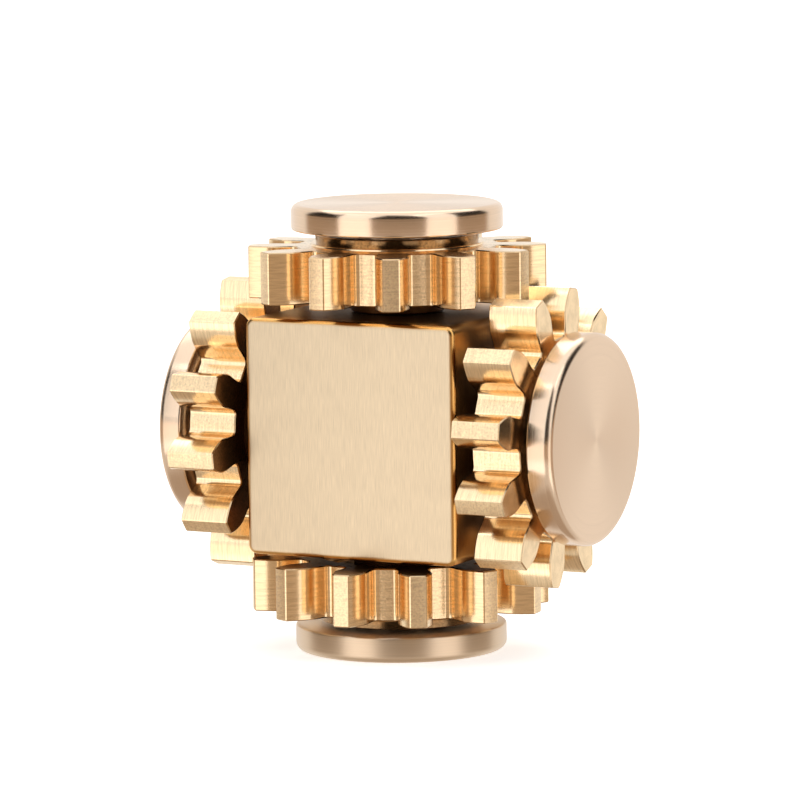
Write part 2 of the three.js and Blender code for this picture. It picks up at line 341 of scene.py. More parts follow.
def milled_brass():
    """Hobbed brass gears: polished flanks, tips left sandy by turning, and rough faces to the block, which
    like the lip carry painted shade in brown.
    """
    material, tree = new_material("milled_brass")
    if tree is None:
        return material
    colours = finishes()
    place = add_node(tree, "ShaderNodeTexCoord").outputs["Object"]
    unrolled = add_node(tree, "ShaderNodeUVMap", {"uv_map": "UVMap"}).outputs["UV"]
    sandy = add_node(tree, "ShaderNodeAttribute", {"attribute_name": "sandy"}).outputs["Fac"]
    dull = add_node(tree, "ShaderNodeAttribute", {"attribute_name": "dull"}).outputs["Fac"]
    # Torn grain, 4 specks to a millimetre, which shows mostly on the tips.
    grain = add_node(
        tree, "ShaderNodeTexNoise", inputs={"Vector": place, "Scale": 4 / MM, "Detail": 4.0}
    ).outputs["Fac"]
    # Cutter marks that run around the gear, about 4 to a millimetre and 2.5 mm long.
    around = add_node(
        tree, "ShaderNodeMapping", inputs={"Vector": unrolled, "Scale": (0.4 / MM, 4.2 / MM, 1)}
    ).outputs["Vector"]
    marks = add_node(
        tree, "ShaderNodeTexNoise", inputs={"Vector": around, "Scale": 1.0, "Detail": 3.0}
    ).outputs["Fac"]
    relief = add_node(
        tree, "ShaderNodeMath", {"operation": "MULTIPLY_ADD"}, {0: marks, 1: 0.6, 2: grain}
    ).outputs["Value"]
    shade = add_node(
        tree, "ShaderNodeMapRange", inputs={"Value": relief, "From Min": 0.55, "From Max": 1.05}
    ).outputs["Result"]
    # The tips' grain is strong, and the flanks' about a fifth of it.
    strength = add_node(tree, "ShaderNodeMapRange", inputs={"Value": sandy, "To Min": 0.07, "To Max": 0.36})
    bump = add_node(
        tree,
        "ShaderNodeBump",
        inputs={"Height": relief, "Strength": strength.outputs["Result"], "Distance": 0.04 * MM},
    )
    marked = add_node(
        tree, "ShaderNodeMapRange", inputs={"Value": marks, "From Min": 0.35, "From Max": 0.6}
    ).outputs["Result"]
    smooth_colour = add_node(
        tree, "ShaderNodeMix", COLOUR_MIX, {FACTOR: marked, **shades(colours.gear_brass, 0.87, 1.04)}
    ).outputs[MIXED]
    sandy_colour = add_node(
        tree, "ShaderNodeMix", COLOUR_MIX, {FACTOR: shade, **shades(colours.gear_brass, 0.8, 1.2)}
    ).outputs[MIXED]
    # Painted shade darkens the faces towards the block and the lip to a brown share of the sawn brass; the
    # broken edges of the teeth take half of it.
    sawn_shade_colour = add_node(
        tree, "ShaderNodeMix", COLOUR_MIX, {FACTOR: shade, **shades(colours.sawn_brass_and_shade, 0.35, 0.7)}
    ).outputs[MIXED]
    open_colour = add_node(
        tree, "ShaderNodeMix", COLOUR_MIX, {FACTOR: sandy, COLOUR_A: smooth_colour, COLOUR_B: sandy_colour}
    ).outputs[MIXED]
    colour = add_node(
        tree, "ShaderNodeMix", COLOUR_MIX, {FACTOR: dull, COLOUR_A: open_colour, COLOUR_B: sawn_shade_colour}
    )
    rough = add_node(tree, "ShaderNodeMapRange", inputs={"Value": sandy, "To Min": 0.17, "To Max": 0.34})
    shader = add_node(
        tree,
        "ShaderNodeBsdfPrincipled",
        inputs={
            "Base Color": colour.outputs[MIXED],
            "Metallic": 1.0,
            "Roughness": rough.outputs["Result"],
            "Normal": bump.outputs["Normal"],
        },
    )
    add_node(tree, "ShaderNodeOutputMaterial", inputs={"Surface": shader.outputs["BSDF"]})
    return material


# Metals worked in a lathe: the finish that gives the colour, the roughness, the rings' spacing and depth in
# millimetres, and how much the rings stretch a reflection across them.
TURNED_METALS = {
    # Champagne brass caps, faced and lightly polished.
    "turned_brass": ("cap_brass", 0.22, 0.18, 0.02, 0.8),
    # The same brass, painted browner and a little darker as shade on the cap that the cube stands on, and
    # rougher.
    "worn_turned_brass": ("shaded_cap_brass", 0.4, 0.18, 0.02, 0.7),
    # Brass spacers, parted off and left brown and matte.
    "dull_brass": ("spacer_brass", 0.5, 0.3, 0.02, 0.2),
    # Bearing steel, ground and honed nearly to a mirror.
    "ground_steel": ("bearing_steel", 0.12, 0.08, 0.005, 0.3),
    # Thin shields pressed from bright steel strip, with faint rings from the press tool.
    "pressed_steel": ("shield_steel", 0.3, 0.3, 0.01, 0.2),
    # Steel studs with a black oxide finish, which is dull and slightly oily.
    "blackened_steel": ("stud_steel", 0.45, 0.2, 0.01, 0.0),
}


def turned_metal(name):
    """Metal turned on a lathe: fine rings around the axis, which fan each reflection out into a wedge."""
    material, tree = new_material(name)
    if tree is None:
        return material
    finish, roughness, spacing, depth, anisotropy = TURNED_METALS[name]
    unrolled = add_node(tree, "ShaderNodeUVMap", {"uv_map": "UVMap"}).outputs["UV"]
    # The pattern changes only from ring to ring, so each ring closes on itself.
    rings = add_node(
        tree, "ShaderNodeMapping", inputs={"Vector": unrolled, "Scale": (0, 1 / (spacing * MM), 1)}
    ).outputs["Vector"]
    cut = add_node(
        tree, "ShaderNodeTexNoise", inputs={"Vector": rings, "Scale": 1.0, "Detail": 3.0}
    ).outputs["Fac"]
    rough = add_node(
        tree,
        "ShaderNodeMapRange",
        inputs={
            "Value": cut,
            "From Min": 0.3,
            "From Max": 0.7,
            "To Min": roughness * 0.85,
            "To Max": roughness * 1.15,
        },
    )
    bump = add_node(tree, "ShaderNodeBump", inputs={"Height": cut, "Strength": 0.3, "Distance": depth * MM})
    around = add_node(tree, "ShaderNodeTangent", {"direction_type": "UV_MAP", "uv_map": "UVMap"})
    colour = getattr(finishes(), finish)
    tint = add_node(tree, "ShaderNodeMix", COLOUR_MIX, {FACTOR: cut, **shades(colour, 0.86, 1.1)})
    shader = add_node(
        tree,
        "ShaderNodeBsdfPrincipled",
        inputs={
            "Base Color": tint.outputs[MIXED],
            "Metallic": 1.0,
            "Roughness": rough.outputs["Result"],
            "Anisotropic": anisotropy,
            # The spread is across the rings, a quarter turn from the tangent.
            "Anisotropic Rotation": 0.25,
            "Normal": bump.outputs["Normal"],
            "Tangent": around.outputs["Tangent"],
        },
    )
    add_node(tree, "ShaderNodeOutputMaterial", inputs={"Surface": shader.outputs["BSDF"]})
    return material


# ---- mesh helpers ----


def arc(centre, radius, start, end, steps):
    """Points on a circle in the (radius, height) plane, with angles in degrees from the radial direction."""
    turns = [math.radians(start + (end - start) * i / steps) for i in range(steps + 1)]
    return [(centre[0] + radius * math.cos(a), centre[1] + radius * math.sin(a)) for a in turns]


def grid_mesh(name, columns, closed_rows, closed_columns, uv):
    """A mesh from columns of points. uv gives each corner's place from its column and row."""
    build = bmesh.new()
    layer = build.loops.layers.uv.new("UVMap")
    lines = [[build.verts.new(point) for point in column] for column in columns]
    for i in range(len(lines) - (0 if closed_columns else 1)):
        left, right = lines[i], lines[(i + 1) % len(lines)]
        for j in range(len(left) - (0 if closed_rows else 1)):
            up = (j + 1) % len(left)
            corners = [(left[j], i, j), (right[j], i + 1, j), (right[up], i + 1, j + 1), (left[up], i, j + 1)]
            face = build.faces.new([corner[0] for corner in corners])
            for loop, (_, column, row) in zip(face.loops, corners):
                loop[layer].uv = uv(column, row)
    mesh = bpy.data.meshes.new(name)
    build.to_mesh(mesh)
    build.free()
    return mesh


def turned_mesh(name, profile, segments):
    """Turns a closed profile of (radius, height) points about Z. It may start and end on the axis."""
    columns = []
    for i in range(segments):
        angle = 2 * math.pi * i / segments
        columns.append([(r * math.cos(angle), r * math.sin(angle), h) for r, h in profile])
    ring = profile + [profile[0]]
    travel = [0.0]
    for start, end in zip(ring, ring[1:]):
        travel.append(travel[-1] + math.dist(start, end))
    on_axis = profile[0][0] == 0
    mesh = grid_mesh(name, columns, not on_axis, True, lambda i, j: (i / segments, travel[j]))
    clean(mesh)
    return mesh


def add_object(name, data):
    """A new object in the scene."""
    added = bpy.data.objects.new(name, data)
    bpy.context.collection.objects.link(added)
    return added


def clean(mesh):
    """Merges doubled points, such as those at a pole, and turns every face outwards."""
    build = bmesh.new()
    build.from_mesh(mesh)
    bmesh.ops.remove_doubles(build, verts=build.verts, dist=1e-7)
    bmesh.ops.dissolve_degenerate(build, edges=build.edges, dist=1e-8)
    bmesh.ops.recalc_face_normals(build, faces=build.faces)
    build.to_mesh(mesh)
    build.free()


def add_piece(name, mesh, material, body, node):
    """Puts a finished mesh in the scene, for a CAD node that it stands for."""
    mesh.materials.clear()
    mesh.materials.append(material)
    mesh.shade_smooth()
    mesh.set_sharp_from_angle(angle=SHARP)
    piece = add_object(name, mesh)
    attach(piece, body)
    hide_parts(node)


def run_tree(name, mesh, tree, values):
    """The plain mesh that a Geometry Nodes tree makes from a mesh and its named inputs."""
    source = add_object(name, mesh)
    modifier = source.modifiers.new("Repeat", "NODES")
    modifier.node_group = tree
    items = tree.interface.items_tree
    sockets = {item.name: item.identifier for item in items if item.item_type == "SOCKET"}
    for key, value in values.items():
        modifier[sockets[key]] = value
    evaluated = source.evaluated_get(bpy.context.evaluated_depsgraph_get())
    result = bpy.data.meshes.new_from_object(evaluated)
    bpy.data.objects.remove(source)
    return result


def new_tree(name, inputs):
    """An empty Geometry Nodes tree and its inputs: a geometry, and the further ones that are named."""
    tree = bpy.data.node_groups.new(name, "GeometryNodeTree")
    tree.interface.new_socket("Geometry", in_out="INPUT", socket_type="NodeSocketGeometry")
    for label, kind in inputs.items():
        tree.interface.new_socket(label, in_out="INPUT", socket_type=kind)
    tree.interface.new_socket("Geometry", in_out="OUTPUT", socket_type="NodeSocketGeometry")
    return tree, add_node(tree, "NodeGroupInput").outputs


def repeat_around(tree, shape, count):
    """Nodes that copy a shape around Z, count times, and make the copies real."""
    points = add_node(tree, "GeometryNodePoints", inputs={"Count": count})
    share = add_node(tree, "ShaderNodeMath", {"operation": "DIVIDE"}, {0: math.tau, 1: count})
    index = add_node(tree, "GeometryNodeInputIndex")
    angle = add_node(
        tree,
        "ShaderNodeMath",
        {"operation": "MULTIPLY"},
        {0: index.outputs["Index"], 1: share.outputs["Value"]},
    )
    turn = add_node(tree, "ShaderNodeCombineXYZ", inputs={"Z": angle.outputs["Value"]})
    copies = add_node(
        tree,
        "GeometryNodeInstanceOnPoints",
        inputs={"Points": points.outputs["Points"], "Instance": shape, "Rotation": turn.outputs["Vector"]},
    )
    return add_node(tree, "GeometryNodeRealizeInstances", inputs={"Geometry": copies.outputs["Instances"]})


def tree_end(tree, geometry, material):
    """Gives the geometry its material and ends the tree with it."""
    painted = add_node(tree, "GeometryNodeSetMaterial", inputs={"Geometry": geometry, "Material": material})
    add_node(tree, "NodeGroupOutput", inputs={"Geometry": painted.outputs["Geometry"]})


# ---- the block ----


def build_block():
    """The block: its four long edges rounded, the rims of its two open faces broken, and drilled."""
    s = sizes()
    low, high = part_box("body_block")
    centre, size = (low + high) / 2, high - low
    build = bmesh.new()
    bmesh.ops.create_cube(build, size=1.0)
    bmesh.ops.scale(build, vec=size, verts=build.verts)
    long_edges = [e for e in build.edges if abs((e.verts[0].co - e.verts[1].co).y) > size.y / 2]
    rounding = {"profile": 0.5, "affect": "EDGES", "offset_type": "OFFSET"}
    bmesh.ops.bevel(build, geom=long_edges, offset=s.block_corner, segments=8, **rounding)
    ends = [e for e in build.edges if len({round(v.co.y, 6) for v in e.verts}) == 1]
    bmesh.ops.bevel(build, geom=ends, offset=s.block_edge, segments=6, **rounding)
    bmesh.ops.translate(build, vec=centre, verts=build.verts)
    mesh = bpy.data.meshes.new("block")
    build.to_mesh(mesh)
    build.free()
    add_piece("block", drilled(mesh), brushed_brass(), "cube", "body_block")


def drilled(mesh):
    """The block with the four holes that the studs screw into."""
    block = add_object("drilled_block", mesh)
    radius = sizes().stud_radius + THREAD_ROOM
    drills = []
    for side in map(Side, SIDES):
        clear = side.block_face + MM
        profile = [(0, side.stud_end - radius / 2), (radius, side.stud_end), (radius, clear), (0, clear)]
        drill_mesh = turned_mesh("drill", profile, 48)
        side.place(drill_mesh)
        drill = add_object("drill", drill_mesh)
        cut = block.modifiers.new("Drill", "BOOLEAN")
        cut.operation = "DIFFERENCE"
        cut.solver = "EXACT"
        cut.object = drill
        drills.append(drill)
    result = bpy.data.meshes.new_from_object(block.evaluated_get(bpy.context.evaluated_depsgraph_get()))
    for scrap in [block, *drills]:
        bpy.data.objects.remove(scrap)
    return result


# ---- the gears ----


# How far a tooth's gap reaches below the pitch circle, in modules.
DEDENDUM = 1.25
# The part of a tooth's broken edge that is taken off its tip circle.
TIP_SHARE = 0.7


def tooth_profile():
    """Half of a tooth, from the middle of the gap beside it to the middle of its tip, as (radius, angle).

    The flank is an involute down to the base circle and radial under it, with a fillet on the root circle.
    """
    s = sizes()
    module = 2 * s.tip_radius / (s.teeth + 2)
    pitch = module * s.teeth / 2
    base = pitch * math.cos(s.pressure_angle)
    root = pitch - DEDENDUM * module

    def involute(angle):
        return math.tan(angle) - angle

    def half_angle(radius):
        angle = math.acos(base / radius) if radius > base else 0.0
        return math.pi / (2 * s.teeth) + involute(s.pressure_angle) - involute(angle)

    flank_angle = half_angle(base)
    fillet_centre_radius = root + s.root_fillet
    fillet_offset = math.asin(s.root_fillet / fillet_centre_radius)
    fillet_angle = flank_angle + fillet_offset
    centre = fillet_centre_radius * Vector((math.cos(fillet_angle), math.sin(fillet_angle)))
    half_gap = math.pi / s.teeth
    floor_steps = 4
    points = [(root, half_gap + (fillet_angle - half_gap) * i / floor_steps) for i in range(floor_steps)]
    fillet_steps = 8
    sweep = math.pi / 2 - fillet_offset
    for i in range(fillet_steps + 1):
        turn = fillet_angle + math.pi + sweep * i / fillet_steps
        point = centre + s.root_fillet * Vector((math.cos(turn), math.sin(turn)))
        points.append((point.length, math.atan2(point.y, point.x)))
    tangent = fillet_centre_radius * math.cos(fillet_offset)
    points += [(tangent + (base - tangent) * i / 2, flank_angle) for i in (1, 2)]
    flank_steps = 10
    chamfer = TIP_SHARE * s.tooth_break
    for i in range(1, flank_steps + 1):
        radius = base + (s.tip_radius - chamfer - base) * i / flank_steps
        points.append((radius, half_angle(radius)))
    land = half_angle(s.tip_radius) - chamfer / s.tip_radius
    land_steps = 4
    points += [(s.tip_radius, land * (1 - i / land_steps)) for i in range(land_steps + 1)]
    return points


def inset(points, distance):
    """The outline moved inwards by a distance, along the normal at each of its points."""
    # A point in a corner moves further, but never more than twice as far.
    least_cosine = 0.5
    moved = []
    for i, here in enumerate(points):
        before = points[max(i - 1, 0)]
        after = points[min(i + 1, len(points) - 1)]
        first, second = (here - before).normalized(), (after - here).normalized()
        along = (first + second).normalized()
        half_turn_cosine = math.sqrt((1 + first.dot(second)) / 2)
        stretch = 1 / max(least_cosine, half_turn_cosine) if 0 < i < len(points) - 1 else 1
        moved.append(here + distance * stretch * Vector((-along.y, along.x)))
    return moved


def tooth_sector(side):
    """One tooth's slice of a gear, centred on +X: its section runs from the bore over both faces."""
    s = sizes()
    half = tooth_profile()
    polar = [(r, -a) for r, a in half] + [(r, a) for r, a in reversed(half[:-1])]
    outline = [Vector((r * math.cos(a), r * math.sin(a))) for r, a in polar]
    smaller = inset(outline, s.tooth_break)
    for edge in (0, -1):
        smaller[edge] = outline[edge] * (1 - s.tooth_break / outline[edge].length)
    bottom, top = side.gear_inner, side.gear_inner + s.gear_thickness
    crest = side.gear_top
    bore = s.bearing_radius + FIT
    boss = bore + s.boss_wall
    # Small edges at the bore, on the boss and on the lip are broken by this much.
    edge = 0.06 * MM
    # The boss rises straight for the last bit under its top, and its bevel ends short of the tooth gaps.
    boss_side, gap_room = 0.22 * MM, 0.2 * MM
    foot = min(boss + s.boss_bevel, min(p.length for p in smaller) - gap_room)
    # The lip around the bearing leans out a little towards its top, and ends just under the outer ring's.
    lip_foot, lip_top, lip_height = bore + 0.03 * MM, bore + 0.15 * MM, side.ring_outer - 0.08 * MM
    run, travel = [0.0], 0.0
    for start, end in zip(outline, outline[1:]):
        travel += (end - start).length
        run.append(travel)
    columns = []
    for i, (point, inner) in enumerate(zip(outline, smaller)):
        angle = math.pi / s.teeth * (2 * i / (len(outline) - 1) - 1)
        spoke = Vector((math.cos(angle), math.sin(angle)))
        columns.append([
            (*(bore * spoke), bottom + 2 * edge),
            (*((bore + 2 * edge) * spoke), bottom),
            (*(foot * spoke), bottom),
            (*inner, bottom),
            (*point, bottom + s.tooth_break),
            (*point, top - s.tooth_break),
            (*inner, top),
            (*(foot * spoke), top),
            (*((boss + edge) * spoke), crest - boss_side),
            (*(boss * spoke), crest - edge),
            (*((boss - edge) * spoke), crest),
            (*(lip_foot * spoke), crest),
            (*(lip_top * spoke), lip_height - edge),
            (*((lip_top - edge) * spoke), lip_height),
            (*(bore * spoke), lip_height),
        ])
    rows = [0.0]
    for start, end in zip(columns[0], columns[0][1:] + columns[0][:1]):
        rows.append(rows[-1] + math.dist(start, end))
    mesh = grid_mesh("tooth_sector", columns, True, False, lambda i, j: (run[i], rows[j]))
    # Which strips between the points above are the teeth's wall, the broken edges beside it, the face
    # towards the block, and the lip.
    wall, broken, inside, lip = (4,), (3, 5), (1, 2), (11, 12)
    same = 1e-7
    on_tip = [abs(r - s.tip_radius) < same for r, _ in polar]
    on_root = [abs(r - polar[0][0]) < same for r, _ in polar]
    # The faces towards the block and the lip get the painted shade in full, and the broken edges beside the
    # wall half of it.
    sandy, dull = [], []
    for i in range(len(columns) - 1):
        tip, root = on_tip[i] and on_tip[i + 1], on_root[i] and on_root[i + 1]
        for j in range(len(columns[0])):
            on_wall = (1.0 if tip else 0.6 if root else 0.0) if j in wall else 0.0
            sandy.append(0.8 if j in inside else on_wall)
            dull.append(1.0 if j in inside or j in lip else 0.5 if j in broken else 0.0)
    for label, values in (("sandy", sandy), ("dull", dull)):
        mesh.attributes.new(label, "FLOAT", "FACE").data.foreach_set("value", values)
    return mesh


def gear_tree():
    """Copies one tooth's slice around the gear and joins the slices."""
    tree, given = new_tree("Gear teeth", {"Teeth": "NodeSocketInt", "Material": "NodeSocketMaterial"})
    teeth = repeat_around(tree, given["Geometry"], given["Teeth"])
    whole = add_node(
        tree, "GeometryNodeMergeByDistance", inputs={"Geometry": teeth.outputs["Geometry"], "Distance": 1e-6}
    )
    tree_end(tree, whole.outputs["Geometry"], given["Material"])
    return tree


def build_gears():
    """The gears, with each tooth where the frame's gear has it."""
    tree = gear_tree()
    for side in map(Side, SIDES):
        teeth = sizes().teeth
        material = milled_brass()
        sector = tooth_sector(side)
        mesh = run_tree("tooth", sector, tree, {"Teeth": teeth, "Material": material})
        clean(mesh)
        mesh.transform(Matrix.Rotation(side.gear_phase(teeth), 4, "Z"))
        side.place(mesh)
        name = side.node("gear")
        add_piece(f"{name}_finished", mesh, material, name, name)


# ---- the caps ----


def build_caps():
    """The caps, each one piece with its shoulder and its shaft, which is drilled for the stud."""
    s = sizes()
    hole = s.stud_radius + THREAD_ROOM
    shaft = s.bearing_bore - FIT
    # The bevel at the shaft's end, the radius of the cap's lower edge, and the shoulder's gap to the ring.
    lead, under, gap = 0.3 * MM, 0.25 * MM, 0.05 * MM
    for side in map(Side, SIDES):
        outer = side.cap_outer
        inner = outer - s.cap_thickness
        shoulder = side.ring_outer + gap
        rim_centre = (s.cap_radius - s.cap_rim, outer - s.cap_rim)
        profile = [
            (0, outer - s.cap_crown + hole / 2),
            (hole, outer - s.cap_crown),
            (hole, side.shaft_end + lead),
            (hole + lead, side.shaft_end),
            (shaft - lead, side.shaft_end),
            (shaft, side.shaft_end + lead),
            (shaft, shoulder),
            (s.cap_shoulder, shoulder),
            (s.cap_shoulder, inner),
            *arc((s.cap_radius - under, inner + under), under, -90, 0, 6),
            *arc(rim_centre, s.cap_rim, 0, 90, 12),
            # Two rings on the flat face keep its faces even up to the middle.
            (s.cap_radius * 0.5, outer),
            (0.2 * MM, outer),
            (0, outer),
        ]
        mesh = turned_mesh(side.node("cap"), profile, 192)
        side.place(mesh)
        name = side.node("cap")
        # The cap that the cube stands on gets its brass with painted shade.
        material = turned_metal("worn_turned_brass" if side.name == "bottom" else "turned_brass")
        add_piece(f"{name}_finished", mesh, material, "cube", name)


# ---- the bearings ----


class Race:
    """The sizes inside a ball bearing, from its bore and outer radius."""

    # A ball's radius and the lands' height as shares of the section, and a groove's radius in balls.
    BALL, LAND, GROOVE = 0.245, 0.31, 1.06
    # The seat of a shield: how far it is cut into the outer ring, and how far down from the ring's end.
    SEAT_CUT, SEAT_DEPTH = 0.45 * MM, 0.65 * MM

    def __init__(self):
        s = sizes()
        section = s.bearing_radius - s.bearing_bore
        self.circle = (s.bearing_bore + s.bearing_radius) / 2
        self.ball = self.BALL * section
        self.groove = self.ball * self.GROOVE
        self.inner_land = s.bearing_bore + self.LAND * section
        self.outer_land = s.bearing_radius - self.LAND * section
        self.shield_seat = self.outer_land + self.SEAT_CUT


def ring_profile(side, race, outer):
    """A bearing ring's section, with its ball groove and broken edges. outer picks the outer ring."""
    s = sizes()
    low, high = side.ring_inner, side.ring_outer
    middle = (low + high) / 2
    edge = s.bearing_edge
    ledge = (high - low) / 2 - race.SEAT_DEPTH
    if outer:
        swing = math.degrees(math.acos((race.outer_land - race.circle) / race.groove))
        return [
            *arc((s.bearing_radius - edge, low + edge), edge, -90, 0, 6),
            *arc((s.bearing_radius - edge, high - edge), edge, 0, 90, 6),
            (race.shield_seat, high),
            (race.shield_seat, middle + ledge),
            (race.outer_land, middle + ledge),
            *arc((race.circle, middle), race.groove, swing, -swing, 12),
            (race.outer_land, middle - ledge),
            (race.shield_seat, middle - ledge),
            (race.shield_seat, low),
        ]
    swing = math.degrees(math.acos((race.circle - race.inner_land) / race.groove))
    return [
        *arc((s.bearing_bore + edge, high - edge), edge, 90, 180, 6),
        *arc((s.bearing_bore + edge, low + edge), edge, 180, 270, 6),
        (race.inner_land, low),
        *arc((race.circle, middle), race.groove, 180 + swing, 180 - swing, 12),
        (race.inner_land, high),
    ]


def ball_tree():
    """Sets balls around a cage ring, and joins them to it."""
    tree, given = new_tree(
        "Ball cage",
        {
            "Balls": "NodeSocketInt",
            "Circle": "NodeSocketFloat",
            "Radius": "NodeSocketFloat",
            "Material": "NodeSocketMaterial",
        },
    )
    ball = add_node(
        tree, "GeometryNodeMeshUVSphere", inputs={"Segments": 24, "Rings": 14, "Radius": given["Radius"]}
    )
    offset = add_node(tree, "ShaderNodeCombineXYZ", inputs={"X": given["Circle"]})
    placed = add_node(
        tree,
        "GeometryNodeTransform",
        inputs={"Geometry": ball.outputs["Mesh"], "Translation": offset.outputs["Vector"]},
    )
    balls = repeat_around(tree, placed.outputs["Geometry"], given["Balls"])
    joined = add_node(tree, "GeometryNodeMeshBoolean", {"operation": "UNION", "solver": "EXACT"})
    tree.links.new(given["Geometry"], joined.inputs["Mesh 2"])
    tree.links.new(balls.outputs["Geometry"], joined.inputs["Mesh 2"])
    real = add_node(tree, "GeometryNodeRealizeInstances", inputs={"Geometry": joined.outputs["Mesh"]})
    tree_end(tree, real.outputs["Geometry"], given["Material"])
    return tree


def build_bearings():
    """The bearings: outer rings and shields turn with their gears, and inner rings stay with the caps."""
    s = sizes()
    race = Race()
    tree = ball_tree()
    steel, strip = turned_metal("ground_steel"), turned_metal("pressed_steel")
    # Half the thickness and half the height of the band that holds the balls.
    wall, reach = 0.35 * MM, 0.75 * MM
    # A shield: its hole's gap to the inner ring, its dished step, and how deep the dish is.
    rim_gap, step, dish = 0.15 * MM, 0.35 * MM, 0.1 * MM
    for side in map(Side, SIDES):
        gear_body, ball_body = side.node("gear"), side.node("balls")
        middle = (side.ring_inner + side.ring_outer) / 2
        for outer, body, node in (
            (True, gear_body, side.node("bearing_outer_ring")),
            (False, "cube", side.node("bearing_inner_ring")),
        ):
            mesh = turned_mesh(node, ring_profile(side, race, outer), 128)
            side.place(mesh)
            add_piece(f"{node}_finished", mesh, steel, body, node)
        inner_wall, outer_wall = race.circle - wall, race.circle + wall
        profile = [(inner_wall, -reach), (outer_wall, -reach), (outer_wall, reach), (inner_wall, reach)]
        band = turned_mesh("cage_band", profile, 96)
        cage = run_tree(
            "cage",
            band,
            tree,
            {"Balls": s.balls, "Circle": race.circle, "Radius": race.ball, "Material": steel},
        )
        cage.transform(Matrix.Translation((0, 0, middle)))
        side.place(cage)
        node = side.node("bearing_ball_cage")
        add_piece(f"{node}_finished", cage, steel, ball_body, node)
        for node in (side.node("bearing_outer_shield"), side.node("bearing_inner_shield")):
            low, high = side.span(node.removeprefix(f"{side.name}_"))
            out = 1 if low > middle else -1
            face, back = (high, low) if out > 0 else (low, high)
            hole = race.inner_land + rim_gap
            seat = race.shield_seat - 2 * FIT
            sunk = face - out * dish
            profile = [
                (hole, back),
                (seat, back),
                (seat, face),
                (hole + 2 * step, face),
                (hole + step, sunk),
                (hole, sunk),
            ]
            mesh = turned_mesh(node, profile, 128)
            side.place(mesh)
            add_piece(f"{node}_finished", mesh, strip, gear_body, node)


# ---- the spacers and studs ----


def build_fasteners():
    """The spacers under the inner rings, and the threaded studs, which have a blind hole in the outer end."""
    s = sizes()
    hole = s.stud_radius + THREAD_ROOM
    edge = 0.25 * MM
    thread_depth, plain_end = 0.4 * MM, 0.6 * MM
    socket, socket_depth, socket_point = 1.1 * MM, 2.0 * MM, 0.4 * MM
    for side in map(Side, SIDES):
        node = side.node("spacer")
        low, high = side.span("spacer")
        profile = [
            (hole, low),
            *arc((s.spacer_radius - edge, low + edge), edge, -90, 0, 6),
            *arc((s.spacer_radius - edge, high - edge), edge, 0, 90, 6),
            (hole, high),
        ]
        mesh = turned_mesh(node, profile, 96)
        side.place(mesh)
        add_piece(f"{node}_finished", mesh, turned_metal("dull_brass"), "cube", node)

        node = side.node("stud")
        low, high = side.stud_end, side.stud_top
        root = s.stud_radius - thread_depth
        crests = int((high - low - 2 * plain_end) / s.thread_pitch)
        start = low + plain_end
        profile = [(0, low), (root, low)]
        for i in range(crests):
            foot = start + i * s.thread_pitch
            profile += [(root, foot), (s.stud_radius - 2 * FIT, foot + s.thread_pitch / 2)]
        profile += [
            (root, start + crests * s.thread_pitch),
            (root, high),
            (socket, high),
            (socket, high - socket_depth),
            (0, high - socket_depth - socket_point),
        ]
        mesh = turned_mesh(node, profile, 48)
        side.place(mesh)
        add_piece(f"{node}_finished", mesh, turned_metal("blackened_steel"), "cube", node)


# ---- the stage ----

# Where the camera stands: degrees round from the front towards the right, degrees up, and degrees of roll.
CAMERA_AZIMUTH, CAMERA_ELEVATION, CAMERA_ROLL = 27.42, 7.39, -0.63
CAMERA_DISTANCE = 0.735
CAMERA_LENS = 280.8
# The view's middle lies this far to the right of the block's centre and above it.
AIM_RIGHT, AIM_UP = 0.125 * MM, 3.41 * MM

# Angles are in degrees, azimuth from the camera's towards the right, and sizes and distances in metres.
SOFTBOXES = {
    "left_softbox": dict(azimuth=-47.5, elevation=34, distance=1.2, width=0.83, height=1.2, radiance=1.4),
    "right_softbox": dict(azimuth=50, elevation=34, distance=1.2, width=0.78, height=1.2, radiance=1.3),
    # The softboxes again, dimmer, as a glossy table would mirror them.
    "left_table_glow": dict(
        azimuth=-47.5, elevation=-11, distance=1.2, width=0.83, height=0.83, radiance=1.1
    ),
    "right_table_glow": dict(azimuth=50, elevation=-11, distance=1.2, width=0.78, height=0.83, radiance=0.98),
    # Overhead, and set back from the block.
    "overhead_softbox": dict(
        azimuth=0, elevation=90, distance=1.6, width=2.6, height=2.6, radiance=1.3, setback=0.45
    ),
}

# The room's colour by height, from 0 straight down through 0.5 level with the cube to 1 straight up.
ROOM_BANDS = (
    (0.12, "#BBAA98"),
    (0.18, "#E4DDD4"),
    (0.33, "#E4DDD4"),
    (0.38, "#B9A28A"),
    (0.49, "#B9A28A"),
    (0.53, "#14100D"),
)
BACK_WALL = "#FFFCF7"


def direction(azimuth, elevation):
    """Points from the block towards an azimuth round from the front, and an elevation, in degrees."""
    a, e = math.radians(azimuth), math.radians(elevation)
    return Vector((math.sin(a) * math.cos(e), -math.cos(a) * math.cos(e), math.sin(e)))


def softbox(name, centre, azimuth, elevation, distance, width, height, radiance, setback=0.0):
    """A softbox that faces the centre, or a point set back behind it. Its power follows from its area."""
    data = bpy.data.lights.new(name, "AREA")
    data.shape = "RECTANGLE"
    data.size, data.size_y = width, height
    data.energy = radiance * math.pi * width * height
    light = add_object(name, data)
    towards = direction(CAMERA_AZIMUTH + azimuth, elevation)
    light.location = centre - setback * direction(CAMERA_AZIMUTH, 0) + distance * towards
    light.rotation_euler = towards.to_track_quat("Z", "Y").to_euler()
    light.visible_camera = False


